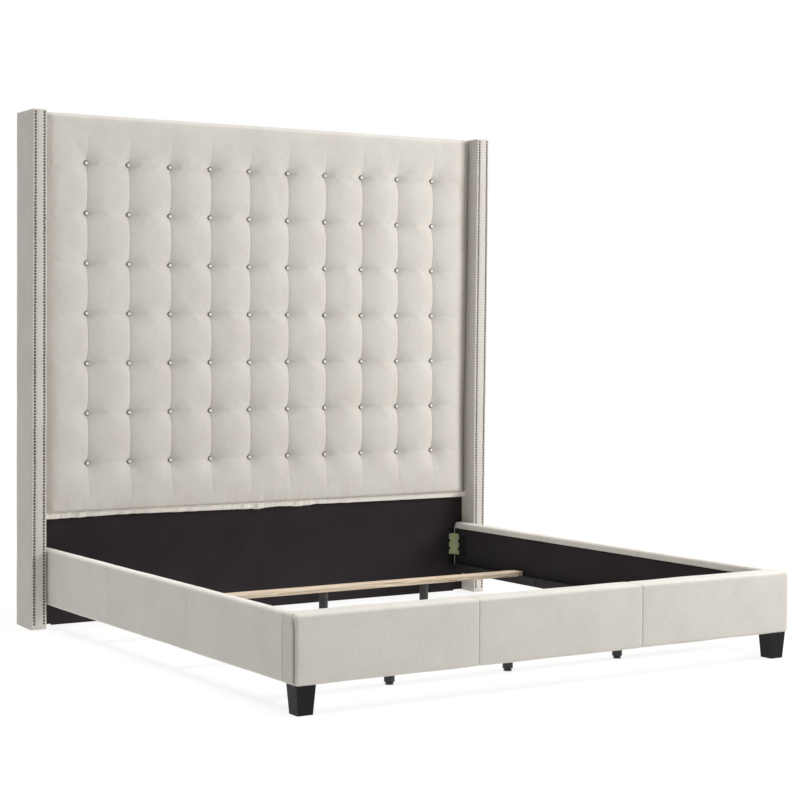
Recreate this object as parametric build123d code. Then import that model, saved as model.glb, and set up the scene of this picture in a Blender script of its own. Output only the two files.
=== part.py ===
"""A king-size wingback bed with a tall button-tufted headboard.

X runs across the bed, +Y points to the headboard and +Z up. The origin is on the floor
under the centre of the bed. All lengths are in millimetres.
"""

import os
from build123d import *

# Overall size
overall_width = 2245.0
overall_length = 2286.0
overall_height = 2134.0

# Clearances and overruns
seat_gap = 0.3
wing_gap = 1.0
joint_gap = 0.5
cut_overrun = 5.0

# Wings
wing_thickness = 58.0
wing_depth = 190.0
wing_padding = 10.0
wing_edge_radius = 6.0
glide_height = 6.0
wing_glide_radius = 13.0
wing_glide_inset = 30.0
nail_width = 11.0
nail_height = 3.0
nail_edge_margin = 2.0
nail_end_margin = 14.0

# Headboard structure between the wings
back_panel_thickness = 3.0
frame_depth = 70.0
post_width = 50.0
frame_member_width = 70.0
front_board_thickness = 12.0
lower_cover_thickness = 5.0
strip_groove = 2.5
lowest_cross_rail = 640.0
top_cross_rail_drop = 514.0
cross_rail_count = 3
stile_count = 3

# Tufted pad
pad_side_gap = 3.0
pad_bottom = 475.0
pad_top_wrap = 12.0
hem_height = 28.0
hem_thickness = 4.0
hem_bulge = 3.0
button_columns = 10
button_rows = 7
button_side_margin = 200.5
top_button_drop = 204.0
bottom_button_rise = 201.0
pad_edge_depth = 13.0
pad_shoulder_run = 42.0
tuft_depth = 33.0
channel_depth = 44.0
crown_depth_at_row = 54.0
crown_depth = 61.0

# Covered buttons
button_radius = 10.5
button_back_radius = 0.6
button_back_rise = 6.0
button_dome_radius = 6.0
button_dome_rise = 4.5
button_sides = 8

# Side rails
rail_height = 230.0
rail_thickness = 46.0
rail_outer_padding = 16.0
rail_top_padding = 13.0
rail_bottom_wrap = 2.0
rail_lining_thickness = 2.0
rail_wrap_drop = 28.0
rail_round_radius = 11.0
rail_panel_count = 3
seam_width = 4.0
seam_depth = 1.6

# Slat ledgers
ledger_height = 34.0
ledger_width = 30.0
ledger_end_margin = 20.0
ledger_bolt_count = 5
ledger_bolt_end_margin = 322.0
ledger_bolt_embed = 20.0

# Footboard
footboard_thickness = 90.0
footboard_outer_padding = 18.0
footboard_top_padding = 14.0
footboard_end_padding = 14.0
footboard_bottom_wrap = 2.0
footboard_lining_thickness = 2.0
footboard_round_radius = 16.0
footboard_panel_count = 3

# Front legs
leg_height = 98.0
leg_top_side = 72.0
leg_bottom_side = 58.0
leg_inset = 8.0
leg_corner_radius = 3.0
leg_bolt_radius = 4.0
leg_bolt_length = 90.0
leg_bolt_into_core = 40.0

# Steel rail brackets
plate_thickness = 3.0
post_plate_width = 34.0
post_plate_height = 156.0
post_plate_drop = 34.0
rail_plate_length = 88.0
rail_plate_height = 82.0
rail_plate_drop = 67.0
corner_arm_on_post = 30.0
corner_arm_on_rail = 42.0
corner_height = 98.0
corner_drop = 53.0
corner_notch_radius = 7.0
corner_notch_drop = 34.0
corner_notch_pitch = 36.0

# Bolts and screws, whose shanks and holes have few sides because threads are left out
shank_sides = 8
bolt_radius = 4.0
bolt_clearance = 0.3
bolt_head_radius = 6.5
bolt_head_height = 4.0
bracket_bolt_length = 30.0
wing_bolt_length = 76.0
wing_bolt_count = 4
lowest_wing_bolt = 300.0
top_wing_bolt_drop = 184.0
screw_radius = 2.2
screw_head_radius = 4.5
screw_head_height = 3.0
slat_screw_length = 42.0

# Slats and their support legs
slat_width = 70.0
slat_thickness = 20.0
slat_end_gap = 3.0
slat_edge_chamfer = 2.0
head_slat_setback = 613.0
slat_pitch = 670.0
slat_screw_spacing = 40.0
slat_screw_from_end = 14.0
slat_screw_sink = 0.5
slat_count = 3
support_leg_radius = 19.0
support_leg_pitch = 506.0
support_legs_per_slat = 3
glide_rest_extension = 4.0
glide_disc_radius = 15.0
glide_disc_height = 6.0
glide_disc_chamfer = 1.5
glide_stem_radius = 4.0
glide_stem_length = 38.0
glide_stem_clearance = 0.1
glide_bore_depth = 45.0
leg_stud_radius = 4.0
leg_stud_length = 34.0
leg_stud_into_slat = 14.0

# Places worked out from the sizes above
back_y = overall_length / 2
foot_y = -overall_length / 2
inner_half_width = overall_width / 2 - wing_thickness
frame_back_y = back_y - back_panel_thickness
frame_front_y = frame_back_y - frame_depth
board_front_y = frame_front_y - front_board_thickness
pad_back_y = board_front_y - seat_gap
lower_front_y = pad_back_y - lower_cover_thickness
rail_outer_x = inner_half_width - wing_gap
rail_inner_x = rail_outer_x - rail_thickness
rail_head_y = lower_front_y - joint_gap
rail_foot_y = foot_y + footboard_thickness + joint_gap
rail_length = rail_head_y - rail_foot_y
rail_bottom = leg_height
rail_top = rail_bottom + rail_height
ledger_top = rail_bottom + ledger_height
slat_top = ledger_top + slat_thickness
post_plate_bottom = rail_top - post_plate_drop - post_plate_height
rail_plate_bottom = rail_top - rail_plate_drop - rail_plate_height
corner_bottom = rail_top - corner_drop - corner_height
frame_top = overall_height - pad_top_wrap - seat_gap
pad_half_width = inner_half_width - pad_side_gap
sides = {"left": -1, "right": 1}


def spread(first, last, count):
    """Evenly spaced places from the first to the last."""
    return [first + n * (last - first) / (count - 1) for n in range(count)]


cross_rail_heights = spread(lowest_cross_rail, overall_height - top_cross_rail_drop, cross_rail_count)
wing_bolt_heights = spread(lowest_wing_bolt, overall_height - top_wing_bolt_drop, wing_bolt_count)
button_half_spread = pad_half_width - button_side_margin
button_places = spread(-button_half_spread, button_half_spread, button_columns)
button_heights = spread(overall_height - top_button_drop, pad_bottom + bottom_button_rise, button_rows)
slat_places = [back_y - head_slat_setback - n * slat_pitch for n in range(slat_count)]
leg_reach = (support_legs_per_slat - 1) / 2 * support_leg_pitch
leg_places = spread(-leg_reach, leg_reach, support_legs_per_slat)

os.makedirs("parts", exist_ok=True)


def write(name, *solids):
    """Write one named piece, or one group of identical pieces, to its own file."""
    shape = solids[0] if len(solids) == 1 else Compound(children=list(solids))
    shape.label = name
    export_step(shape, f"parts/{name}.step")


def block(x0, x1, y0, y1, z0, z1):
    """A box between two corners, whichever way round they are given."""
    size = (abs(x1 - x0), abs(y1 - y0), abs(z1 - z0))
    return Pos((x0 + x1) / 2, (y0 + y1) / 2, (z0 + z1) / 2) * Box(*size)


def rod(radius, start, direction, length):
    """A round bar from a start point along a direction."""
    return extrude(Plane(origin=start, z_dir=direction) * Circle(radius), length)


def shank(radius, start, direction, length):
    """A fastener's shank, or the hole for one."""
    return extrude(Plane(origin=start, z_dir=direction) * RegularPolygon(radius, shank_sides), length)


def hex_bolt(start, direction, length, radius=bolt_radius, head=(bolt_head_radius, bolt_head_height)):
    """A bolt whose head seats at the start point and whose shank runs along the direction."""
    head_radius, head_height = head
    seat = Plane(origin=start, z_dir=direction)
    cap = extrude(seat * RegularPolygon(head_radius, 6), -head_height)
    return cap + shank(radius, start, direction, length)


def mirror_x(shape, side):
    """The shape itself on the right side, or its mirror image on the left."""
    return shape if side > 0 else mirror(shape, about=Plane.YZ)


# Headboard frame
def headboard_posts():
    for name, side in sides.items():
        outer = inner_half_width - wing_gap
        post = block(outer, outer - post_width, frame_back_y, frame_front_y, glide_height, frame_top)
        for height in wing_bolt_heights:
            start = (outer - post_width - cut_overrun, (frame_back_y + frame_front_y) / 2, height)
            post -= shank(bolt_radius + bolt_clearance, start, (1, 0, 0), post_width + 2 * cut_overrun)
        write(f"headboard_post_{name}", mirror_x(post, side))


def headboard_rails():
    half = inner_half_width - wing_gap - post_width
    levels = [glide_height, *cross_rail_heights, frame_top - frame_member_width]
    rails = [
        block(-half, half, frame_back_y, frame_front_y, z, z + frame_member_width) for z in levels
    ]
    write("headboard_bottom_rail", rails[0])
    write("headboard_cross_rails", *rails[1:-1])
    write("headboard_top_rail", rails[-1])
    stiles = []
    for low, high in zip(levels[:-1], levels[1:]):
        for n in range(stile_count):
            x = (n + 1) * 2 * half / (stile_count + 1) - half
            x0 = x - frame_member_width / 2
            x1, z0 = x0 + frame_member_width, low + frame_member_width
            stiles.append(block(x0, x1, frame_back_y, frame_front_y, z0, high))
    write("headboard_stiles", *stiles)


def headboard_boards():
    half = inner_half_width - wing_gap
    write("headboard_back_panel", block(-half, half, back_y, frame_back_y, glide_height, frame_top))
    strip_inner = half - post_width
    low, high = glide_height, pad_bottom - seat_gap
    cover_half = strip_inner - strip_groove
    front_board = block(-half, half, frame_front_y, board_front_y, glide_height, frame_top)
    lower_cover = block(-cover_half, cover_half, board_front_y, lower_front_y, low, high)
    for hole in wall_bolt_holes(lower_front_y, 1):
        front_board -= hole
        lower_cover -= hole
    write("headboard_front_board", front_board)
    write("headboard_lower_cover", lower_cover)
    strips = [
        mirror_x(block(strip_inner, half, board_front_y, lower_front_y, low, high), side)
        for side in sides.values()
    ]
    write("headboard_side_strips", *strips)


# Tufted pad
def pad_levels():
    """Height, channel depth and crown depth of each of the pad's sections, from the bottom up."""
    bottom_row, top_row = button_heights[-1], button_heights[0]
    row_pitch = (top_row - bottom_row) / (button_rows - 1)
    lower_span = bottom_row - pad_bottom
    upper_span = overall_height - top_row
    # Shares of the span from the outer buttons to the edge, then of the channel and crown depths
    edge_round_shares = [
        (1.00, 0.30, 0.26),
        (0.985, 0.50, 0.45),
        (0.93, 0.78, 0.72),
        (0.80, 0.95, 0.91),
        (0.50, 1.00, 1.00),
    ]
    levels = []
    for span, channel, crown in edge_round_shares:
        levels.append((bottom_row - span * lower_span, channel * channel_depth, crown * crown_depth))
    for height in reversed(button_heights):
        levels.append((height, tuft_depth, crown_depth_at_row))
        if height != top_row:
            levels.append((height + row_pitch / 2, channel_depth, crown_depth))
    for span, channel, crown in reversed(edge_round_shares):
        levels.append((top_row + span * upper_span, channel * channel_depth, crown * crown_depth))
    return levels


def pad_section(height, channel, crown):
    """One level section: a flat back, rounded sides and an arc between each two channels."""
    edge = min(pad_edge_depth, channel)
    shoulder_share, quick_run_share, quick_rise_share = 0.80, 0.25, 0.62
    shoulder = edge + (crown - edge) * shoulder_share

    def at(x, depth):
        return (x, pad_back_y - depth, height)

    def side_arcs(sign):
        """The rounded side, from its edge over the shoulder to the outermost channel."""
        edge_x, outer_x = sign * pad_half_width, sign * button_places[-1]
        shoulder_x = edge_x - sign * pad_shoulder_run
        quick_x = edge_x - sign * pad_shoulder_run * quick_run_share
        quick = at(quick_x, edge + (shoulder - edge) * quick_rise_share)
        return [
            ThreePointArc(at(edge_x, edge), quick, at(shoulder_x, shoulder)),
            ThreePointArc(
                at(shoulder_x, shoulder), at((shoulder_x + outer_x) / 2, crown), at(outer_x, channel)
            ),
        ]

    edges = [Line(at(-pad_half_width, 0), at(-pad_half_width, edge)), *side_arcs(-1)]
    for left, right in zip(button_places[:-1], button_places[1:]):
        crest = at((left + right) / 2, crown)
        edges.append(ThreePointArc(at(left, channel), crest, at(right, channel)))
    edges += list(side_arcs(1))
    edges.append(Line(at(pad_half_width, edge), at(pad_half_width, 0)))
    edges.append(Line(at(pad_half_width, 0), at(-pad_half_width, 0)))
    return Face(Wire(edges))


def headboard_pad():
    pad = loft([pad_section(*level) for level in pad_levels()], ruled=True)
    wrap_front_y = pad_back_y - pad_edge_depth / 2
    wrap_bottom = frame_top + seat_gap
    wrap = block(-pad_half_width, pad_half_width, back_y, wrap_front_y, wrap_bottom, overall_height)
    write("headboard_pad", pad + wrap)


def headboard_hem():
    """A thin strip of the cover under the pad, bellied along its middle."""
    front = lower_front_y - seat_gap
    low, high = pad_bottom - hem_height, pad_bottom - seat_gap
    profile = Wire([
        Line((0, front, low), (0, front, high)),
        Line((0, front, high), (0, front - hem_thickness, high)),
        ThreePointArc(
            (0, front - hem_thickness, high),
            (0, front - hem_thickness - hem_bulge, (low + high) / 2),
            (0, front - hem_thickness / 2, low),
        ),
        Line((0, front - hem_thickness / 2, low), (0, front, low)),
    ])
    strip = extrude(Face(profile), 2 * pad_half_width, dir=(1, 0, 0))
    write("headboard_hem", Pos(-pad_half_width, 0, 0) * strip)


def tuft_buttons():
    """Covered buttons that sit in the tufts: a tapered back and a low dome."""
    y = pad_back_y - tuft_depth - seat_gap
    rings = [
        (button_back_radius, 0),
        (button_radius, button_back_rise),
        (button_dome_radius, button_back_rise + button_dome_rise),
    ]
    sections = [
        Plane(origin=(0, -rise, 0), z_dir=(0, -1, 0)) * RegularPolygon(radius, button_sides)
        for radius, rise in rings
    ]
    button = loft(Sketch() + sections, ruled=True)
    write("tuft_buttons", *[Pos(x, y, z) * button for z in button_heights for x in button_places])


# Wings
def wings():
    x0, x1 = inner_half_width, overall_width / 2
    front_y = back_y - wing_depth
    bolt_y = (frame_back_y + frame_front_y) / 2
    for name, side in sides.items():
        core = block(
            x0 + wing_padding, x1 - wing_padding, back_y - wing_padding, front_y + wing_padding,
            glide_height, overall_height - wing_padding,
        )
        outer = block(x0, x1, back_y, front_y, glide_height, overall_height)
        soft_edges = outer.edges().filter_by(Axis.Z) + outer.faces().sort_by(Axis.Z)[-1].edges()
        cover = fillet(soft_edges, wing_edge_radius) - core
        for height in wing_bolt_heights:
            start = (x0 - cut_overrun, bolt_y, height)
            cover -= shank(bolt_radius + bolt_clearance, start, (1, 0, 0), wing_padding + 2 * cut_overrun)
            reach = wing_bolt_length - post_width + bolt_clearance
            core -= shank(bolt_radius + bolt_clearance, (x0 - wing_gap, bolt_y, height), (1, 0, 0), reach)
        write(f"wing_core_{name}", mirror_x(core, side))
        write(f"wing_cover_{name}", mirror_x(cover, side))
        write(f"wing_nail_trim_{name}", *[mirror_x(row, side) for row in nail_rows(x0, x1, front_y)])


def nail_rows(x0, x1, front_y):
    """The two domed trim rows on a wing's front face."""
    low, high = glide_height + nail_end_margin, overall_height - wing_edge_radius
    rows = []
    for edge in (x0 + nail_edge_margin, x1 - nail_edge_margin - nail_width):
        profile = Wire([
            Line((edge, front_y, low), (edge + nail_width, front_y, low)),
            ThreePointArc(
                (edge + nail_width, front_y, low),
                (edge + nail_width / 2, front_y - nail_height, low),
                (edge, front_y, low),
            ),
        ])
        rows.append(extrude(Face(profile), high - low, dir=(0, 0, 1)))
    return rows


def floor_glides():
    """Thin nail-on glides under the wing cores and the posts."""
    wing_x = overall_width / 2 - wing_thickness / 2
    post_x = inner_half_width - wing_gap - post_width / 2
    front_y = back_y - wing_depth + wing_glide_inset
    back_glide_y = back_y - wing_glide_inset
    places = [(wing_x, front_y), (wing_x, back_glide_y), (post_x, (frame_back_y + frame_front_y) / 2)]
    glides = [
        rod(wing_glide_radius, (side * x, y, 0), (0, 0, 1), glide_height)
        for x, y in places
        for side in sides.values()
    ]
    write("wing_glides", *glides)


def wing_bolts():
    x = inner_half_width - wing_gap - post_width
    y = (frame_back_y + frame_front_y) / 2
    bolts = [
        hex_bolt((side * x, y, height), (side, 0, 0), wing_bolt_length)
        for side in sides.values()
        for height in wing_bolt_heights
    ]
    write("wing_bolts", *bolts)


# Side rails
def rail_profile(inset):
    """The rail's rounded outline across its length, on the right side, drawn in by an inset."""
    width = rail_thickness - 2 * inset
    height = rail_height - 2 * inset
    centre = Pos((rail_outer_x + rail_inner_x) / 2, rail_bottom + rail_height / 2)
    return centre * RectangleRounded(width, height, rail_round_radius - inset)


def rail_window():
    """The inner side of the cover, open for the lining and the rail's core."""
    core_x = rail_inner_x + rail_lining_thickness
    low = rail_bottom + rail_bottom_wrap
    high = rail_top - rail_top_padding
    core_outer_x = rail_outer_x - rail_outer_padding
    core = Pos((core_x + core_outer_x) / 2, (low + high) / 2) * Rectangle(core_outer_x - core_x, high - low)
    lining_high = rail_top - rail_wrap_drop
    side_cut = rail_inner_x - cut_overrun
    lining = Pos((side_cut + core_x) / 2, (rail_bottom - cut_overrun + lining_high) / 2) * Rectangle(
        core_x - side_cut, lining_high - rail_bottom + cut_overrun
    )
    return core, lining


def along_rail(sketch, y_from, length):
    """A prism along the rail, from a place on its length towards the headboard."""
    plane = Plane(origin=(0, y_from, 0), x_dir=(1, 0, 0), z_dir=(0, -1, 0))
    return extrude(plane * sketch, -length)


def side_rails():
    core_sketch, lining_cut = rail_window()
    panel = (rail_length - (rail_panel_count - 1) * seam_width) / rail_panel_count
    cover_sketch = rail_profile(0) - core_sketch - lining_cut
    waist_sketch = rail_profile(seam_depth) - core_sketch - lining_cut
    for name, side in sides.items():
        cover = along_rail(cover_sketch, rail_foot_y, panel)
        for n in range(1, rail_panel_count):
            start = rail_foot_y + n * (panel + seam_width)
            cover += along_rail(waist_sketch, start - seam_width, seam_width)
            cover += along_rail(cover_sketch, start, panel)
        core = along_rail(core_sketch, rail_foot_y, rail_length)
        core_x = rail_inner_x + rail_lining_thickness
        lining = block(
            rail_inner_x, core_x, rail_foot_y, rail_head_y,
            rail_bottom + rail_bottom_wrap, rail_top - rail_wrap_drop - seat_gap,
        )
        for bolt in ledger_bolt_holes():
            core -= bolt
            lining -= bolt
        for bolt in rail_plate_holes():
            core -= bolt
            lining -= bolt
        write(f"rail_core_{name}", mirror_x(core, side))
        write(f"rail_cover_{name}", mirror_x(cover, side))
        write(f"rail_lining_{name}", mirror_x(lining, side))


def slat_ledgers():
    """Black cleats along the foot of the rails' inner faces, with their bolts."""
    bolts = []
    for name, side in sides.items():
        ledger = block(
            rail_inner_x - ledger_width, rail_inner_x,
            rail_foot_y + ledger_end_margin, rail_head_y - ledger_end_margin,
            rail_bottom, ledger_top,
        )
        for hole in ledger_bolt_holes():
            ledger -= hole
        for x, y, z in slat_screw_seats():
            ledger -= screw_hole((x, y, z))
        write(f"slat_ledger_{name}", mirror_x(ledger, side))
        bolts += [
            mirror_x(hex_bolt(place, (1, 0, 0), ledger_bolt_length()), side) for place in ledger_bolt_places()
        ]
    write("ledger_bolts", *bolts)


def ledger_bolt_length():
    return ledger_width + rail_lining_thickness + ledger_bolt_embed


def ledger_bolt_places():
    """Where the ledger bolts' heads seat on the right side."""
    first = rail_foot_y + ledger_bolt_end_margin
    pitch = (rail_length - 2 * ledger_bolt_end_margin) / (ledger_bolt_count - 1)
    z = rail_bottom + ledger_height / 2
    return [(rail_inner_x - ledger_width, first + n * pitch, z) for n in range(ledger_bolt_count)]


def ledger_bolt_holes():
    reach = ledger_bolt_length() + bolt_clearance + cut_overrun
    return [
        shank(bolt_radius + bolt_clearance, (x - cut_overrun, y, z), (1, 0, 0), reach)
        for x, y, z in ledger_bolt_places()
    ]


# Rail hardware
def notch_heights():
    top = corner_bottom + corner_height - corner_notch_drop
    return [top, top - corner_notch_pitch]


def bracket_bolt_places(wall_y, into):
    """Bolt seats at one corner: two on the wall's plate and two on the rail's plate."""
    wall_plate_y = wall_y - into * plate_thickness
    wall_x = rail_inner_x - plate_thickness - corner_arm_on_post
    rail_x = rail_inner_x - plate_thickness
    rail_y = wall_plate_y - into * corner_arm_on_rail
    on_wall = [((wall_x, wall_plate_y, z), (0, into, 0)) for z in notch_heights()]
    on_rail = [((rail_x, rail_y, z), (1, 0, 0)) for z in notch_heights()]
    return on_wall, on_rail


def bolt_hole(seat, direction):
    start = tuple(s - d * cut_overrun for s, d in zip(seat, direction))
    depth = cut_overrun + bracket_bolt_length + bolt_clearance
    return shank(bolt_radius + bolt_clearance, start, direction, depth)


def rail_plate_holes():
    holes = []
    for wall_y, into in ((lower_front_y, 1), (foot_y + footboard_thickness, -1)):
        holes += [bolt_hole(*place) for place in bracket_bolt_places(wall_y, into)[1]]
    return holes


def corner_hardware(wall_y, into):
    """The plates and the notched corner bracket of one right-hand corner."""
    wall_front = wall_y - into * plate_thickness
    arm_front = wall_front - into * plate_thickness
    right = rail_inner_x - joint_gap
    wall_plate = block(
        right - post_plate_width, right, wall_y, wall_front,
        post_plate_bottom, post_plate_bottom + post_plate_height,
    )
    plate_start = wall_front - into * joint_gap
    rail_plate = block(
        rail_inner_x - plate_thickness, rail_inner_x, plate_start, plate_start - into * rail_plate_length,
        rail_plate_bottom, rail_plate_bottom + rail_plate_height,
    )
    corner_x = rail_inner_x - plate_thickness
    corner_top = corner_bottom + corner_height
    bracket = block(corner_x - corner_arm_on_post, corner_x, wall_front, arm_front, corner_bottom, corner_top)
    bracket += block(
        corner_x - plate_thickness, corner_x, wall_front, wall_front - into * corner_arm_on_rail,
        corner_bottom, corner_top,
    )
    on_wall, on_rail = bracket_bolt_places(wall_y, into)
    for (x, y, z), _ in on_wall:
        bracket -= rod(corner_notch_radius, (x, y + into * cut_overrun, z), (0, -into, 0), 4 * cut_overrun)
    for (x, y, z), _ in on_rail:
        bracket -= rod(corner_notch_radius, (x + cut_overrun, y, z), (-1, 0, 0), 4 * cut_overrun)
    for place in on_wall:
        wall_plate -= bolt_hole(*place)
    for place in on_rail:
        rail_plate -= bolt_hole(*place)
    bolts = [hex_bolt(seat, direction, bracket_bolt_length) for seat, direction in on_wall + on_rail]
    return wall_plate, rail_plate, bracket, bolts


def rail_hardware():
    bolts = []
    ends = {
        "head": ("headboard", lower_front_y, 1),
        "foot": ("footboard", foot_y + footboard_thickness, -1),
    }
    for end, (board, wall_y, into) in ends.items():
        wall_plate, rail_plate, bracket, right_bolts = corner_hardware(wall_y, into)
        write(f"{board}_plates", *[mirror_x(wall_plate, side) for side in sides.values()])
        write(f"rail_plates_{end}", *[mirror_x(rail_plate, side) for side in sides.values()])
        write(f"corner_brackets_{end}", *[mirror_x(bracket, side) for side in sides.values()])
        bolts += [mirror_x(bolt, side) for bolt in right_bolts for side in sides.values()]
    write("bracket_bolts", *bolts)


def wall_bolt_holes(wall_y, into):
    """Holes for both sides' corner bolts in the board that the rails meet."""
    on_wall = bracket_bolt_places(wall_y, into)[0]
    return [mirror_x(bolt_hole(*place), side) for place in on_wall for side in sides.values()]


# Footboard
def rounded_footboard(inset):
    """The footboard's padded outline, drawn in by an inset."""
    inner_y = foot_y + footboard_thickness
    body = block(
        inset - rail_outer_x, rail_outer_x - inset, foot_y + inset, inner_y,
        rail_bottom + inset, rail_top - inset,
    )
    front_face = body.faces().sort_by(Axis.Y)[0]
    top_face = body.faces().sort_by(Axis.Z)[-1]
    soft_edges = front_face.edges() + top_face.edges().sort_by(Axis.Y)[1:-1]
    return fillet(soft_edges, footboard_round_radius - inset)


def footboard():
    outer_x = rail_outer_x
    inner_y = foot_y + footboard_thickness
    core_y = inner_y - footboard_lining_thickness
    core = block(
        footboard_end_padding - outer_x, outer_x - footboard_end_padding,
        foot_y + footboard_outer_padding, core_y,
        rail_bottom + footboard_bottom_wrap, rail_top - footboard_top_padding,
    )
    lining_x = rail_inner_x - wing_gap
    lining_box = (rail_bottom + footboard_bottom_wrap, rail_top - rail_wrap_drop)
    lining = block(-lining_x, lining_x, core_y, inner_y, *lining_box)
    cover = rounded_footboard(0) - core - lining
    drawn_in = rounded_footboard(seam_depth)
    panel = 2 * outer_x / footboard_panel_count
    for n in range(1, footboard_panel_count):
        x = n * panel - outer_x
        ring = block(
            x - seam_width / 2, x + seam_width / 2, foot_y - cut_overrun, inner_y,
            rail_bottom - cut_overrun, rail_top + cut_overrun,
        )
        cover -= ring - drawn_in
    for x, y in leg_centres():
        start = (x, y, rail_bottom - cut_overrun)
        hole = shank(leg_bolt_radius + bolt_clearance, start, (0, 0, 1), leg_hole_depth())
        core -= hole
        cover -= hole
    for hole in wall_bolt_holes(inner_y, -1):
        core -= hole
        lining -= hole
    write("footboard_core", core)
    write("footboard_cover", cover)
    write("footboard_lining", lining)


def leg_centres():
    x = rail_outer_x - leg_inset - leg_top_side / 2
    y = foot_y + leg_inset + leg_top_side / 2
    return [(side * x, y) for side in sides.values()]


def leg_hole_depth():
    return cut_overrun + leg_bolt_into_core + bolt_clearance


def front_legs():
    """Tapered square block legs, screwed up into the footboard on hanger bolts."""
    top = Plane.XY.offset(leg_height) * RectangleRounded(leg_top_side, leg_top_side, leg_corner_radius)
    bottom = Plane.XY * RectangleRounded(leg_bottom_side, leg_bottom_side, leg_corner_radius)
    leg = loft(Sketch() + [bottom, top], ruled=True)
    bolt_bottom = leg_height + leg_bolt_into_core - leg_bolt_length
    bore_start = (0, 0, bolt_bottom - bolt_clearance)
    leg -= shank(leg_bolt_radius + bolt_clearance, bore_start, (0, 0, 1), leg_bolt_length)
    bolts = []
    for name, (x, y) in zip(sides, leg_centres()):
        write(f"front_leg_{name}", Pos(x, y, 0) * leg)
        bolts.append(shank(leg_bolt_radius, (x, y, bolt_bottom), (0, 0, 1), leg_bolt_length))
    write("leg_bolts", *bolts)


# Slats and their supports
def slats_and_supports():
    studs = []
    half = rail_inner_x - slat_end_gap
    holes = [mirror_x(screw_hole(seat), side) for seat in slat_screw_seats() for side in sides.values()]
    for row, y in zip(("head", "middle", "foot"), slat_places):
        slat = block(-half, half, y - slat_width / 2, y + slat_width / 2, ledger_top, slat_top)
        long_top_edges = slat.edges().filter_by(Axis.X).sort_by(Axis.Z)[-2:]
        slat = chamfer(long_top_edges, slat_edge_chamfer)
        for hole in holes:
            slat -= hole
        legs = []
        for place, x in zip(("left", "centre", "right"), leg_places):
            stud_bottom = ledger_top + leg_stud_into_slat - leg_stud_length
            stud = shank(leg_stud_radius, (x, y, stud_bottom), (0, 0, 1), leg_stud_length)
            stud_hole = shank(
                leg_stud_radius + bolt_clearance, (x, y, stud_bottom - bolt_clearance), (0, 0, 1),
                leg_stud_length + 2 * bolt_clearance,
            )
            studs.append(stud)
            slat -= stud_hole
            legs.append(support_leg(x, y) - stud_hole)
            write(f"support_glide_{row}_{place}", support_glide(x, y))
        write(f"slat_{row}", slat)
        write(f"support_legs_{row}", *legs)
    head = (screw_head_radius, screw_head_height)
    screws = [
        hex_bolt((side * x, y, z), (0, 0, -1), slat_screw_length, screw_radius, head)
        for x, y, z in slat_screw_seats()
        for side in sides.values()
    ]
    write("slat_screws", *screws)
    write("support_leg_studs", *studs)


def slat_screw_seats():
    """Where the sunk screws at the slats' right ends seat, two to each slat."""
    x = rail_inner_x - slat_end_gap - slat_screw_from_end
    z = slat_top - screw_head_height - slat_screw_sink
    return [(x, y + step * slat_screw_spacing / 2, z) for y in slat_places for step in (-1, 1)]


def screw_hole(seat):
    """A pilot hole for the shank under a wider recess for the head."""
    recess = shank(screw_head_radius + bolt_clearance, seat, (0, 0, 1), screw_head_height + cut_overrun)
    return recess + shank(screw_radius + bolt_clearance, seat, (0, 0, -1), slat_screw_length + bolt_clearance)


def support_leg(x, y):
    """A round leg with a threaded bore in its foot."""
    low = glide_disc_height + glide_rest_extension
    leg = rod(support_leg_radius, (x, y, low), (0, 0, 1), ledger_top - low)
    return leg - rod(glide_stem_radius + glide_stem_clearance, (x, y, low), (0, 0, 1), glide_bore_depth)


def support_glide(x, y):
    """A screw glide: a disc on the floor under a stem that turns in the leg's bore."""
    disc = rod(glide_disc_radius, (x, y, 0), (0, 0, 1), glide_disc_height)
    disc = chamfer(disc.edges().sort_by(Axis.Z)[-1], glide_disc_chamfer)
    return disc + rod(glide_stem_radius, (x, y, glide_disc_height), (0, 0, 1), glide_stem_length)


headboard_posts()
headboard_rails()
headboard_boards()
headboard_pad()
headboard_hem()
tuft_buttons()
wings()
floor_glides()
wing_bolts()
side_rails()
slat_ledgers()
rail_hardware()
footboard()
front_legs()
slats_and_supports()
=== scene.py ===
"""The looks of a king-size wingback bed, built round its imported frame.

Lengths are in metres. X runs across the bed, +Y points to the headboard and +Z up.
"""

import math

import bpy
import numpy as np
from mathutils import Matrix, Vector


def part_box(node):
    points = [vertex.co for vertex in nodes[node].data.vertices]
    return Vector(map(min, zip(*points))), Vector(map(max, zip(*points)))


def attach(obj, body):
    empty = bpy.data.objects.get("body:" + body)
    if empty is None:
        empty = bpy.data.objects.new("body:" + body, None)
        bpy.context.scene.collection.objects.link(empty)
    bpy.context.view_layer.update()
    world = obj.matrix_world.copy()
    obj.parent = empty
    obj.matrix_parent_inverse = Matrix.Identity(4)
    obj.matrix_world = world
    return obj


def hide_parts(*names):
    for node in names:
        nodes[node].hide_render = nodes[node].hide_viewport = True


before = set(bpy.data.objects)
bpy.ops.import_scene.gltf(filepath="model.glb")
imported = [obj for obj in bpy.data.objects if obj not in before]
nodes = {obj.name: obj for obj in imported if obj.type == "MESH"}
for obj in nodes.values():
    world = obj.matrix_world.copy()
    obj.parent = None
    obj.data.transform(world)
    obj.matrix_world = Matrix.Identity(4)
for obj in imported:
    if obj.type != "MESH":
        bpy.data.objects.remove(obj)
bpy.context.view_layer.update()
body = "frame"

# Camera, as fitted to the photograph
camera_place = Vector((-3.9472, -6.3312, 1.222))
camera_azimuth = math.radians(32.245)
camera_pitch = math.radians(2.03)
camera_roll = math.radians(0.121)
camera_focal_px = 1877.8
image_px = 800
sensor_mm = 36.0

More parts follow.
